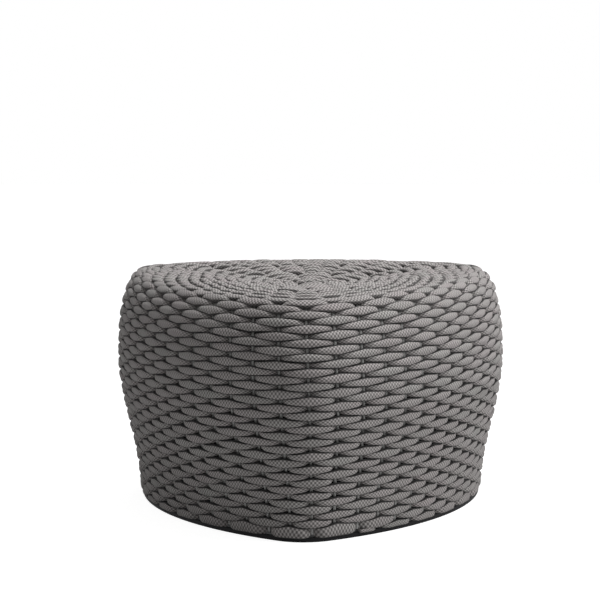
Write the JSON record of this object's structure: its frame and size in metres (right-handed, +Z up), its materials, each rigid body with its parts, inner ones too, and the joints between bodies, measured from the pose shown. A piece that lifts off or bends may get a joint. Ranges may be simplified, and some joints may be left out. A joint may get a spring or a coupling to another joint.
{
  "type": "outdoor footstool",
  "caption": "Woven rope footstool with a rounded three-cornered plan, bulging sides, a dished seat, bent metal rods and a flat base board.",
  "frame": {"origin": "centre of the footprint box on the floor, at the underside of the base board", "axes": "+Z up; -Y towards the front corner, which the picture shows; +X to the right of a person who looks at that corner"},
  "size_m": [0.6146, 0.608, 0.3609],
  "materials": {
    "rope": "braided outdoor rope, matte, warm mid grey",
    "rod_coat": "light grey powder coat, satin",
    "frame_coat": "dark grey powder coat, satin",
    "board": "black, matte",
    "steel": "stainless, satin"
  },
  "bodies": {
    "root": {"base_board": "board", "base_ring": "frame_coat", "rim_tube": "frame_coat", "seat_outer_hoop": "frame_coat", "seat_middle_hoop": "frame_coat", "seat_eye_hoop": "frame_coat", "woven_side": "rope", "woven_seat": "rope", "rod_01": "rod_coat", "rod_02": "rod_coat", "rod_03": "rod_coat", "rod_04": "rod_coat", "rod_05": "rod_coat", "rod_06": "rod_coat", "rod_07": "rod_coat", "rod_08": "rod_coat", "rod_09": "rod_coat", "rod_10": "rod_coat", "rod_11": "rod_coat", "rod_12": "rod_coat", "rod_13": "rod_coat", "rod_14": "rod_coat", "rod_15": "rod_coat", "rod_16": "rod_coat", "rod_17": "rod_coat", "rod_18": "rod_coat", "rod_19": "rod_coat", "rod_20": "rod_coat", "rod_21": "rod_coat", "rod_22": "rod_coat", "rod_23": "rod_coat", "rod_24": "rod_coat", "rod_25": "rod_coat", "rod_26": "rod_coat", "rod_27": "rod_coat", "rod_28": "rod_coat", "rod_29": "rod_coat", "rod_30": "rod_coat", "rod_31": "rod_coat", "rod_32": "rod_coat", "rod_33": "rod_coat", "rod_34": "rod_coat", "rod_35": "rod_coat", "rod_36": "rod_coat", "rod_37": "rod_coat", "rod_38": "rod_coat", "rod_39": "rod_coat", "rod_40": "rod_coat", "rod_41": "rod_coat", "rod_42": "rod_coat", "rod_43": "rod_coat", "rod_44": "rod_coat", "rod_45": "rod_coat", "board_screw_1": "steel", "board_screw_2": "steel", "board_screw_3": "steel", "board_screw_4": "steel", "board_screw_5": "steel", "board_screw_6": "steel"}
  },
  "joints": []
}
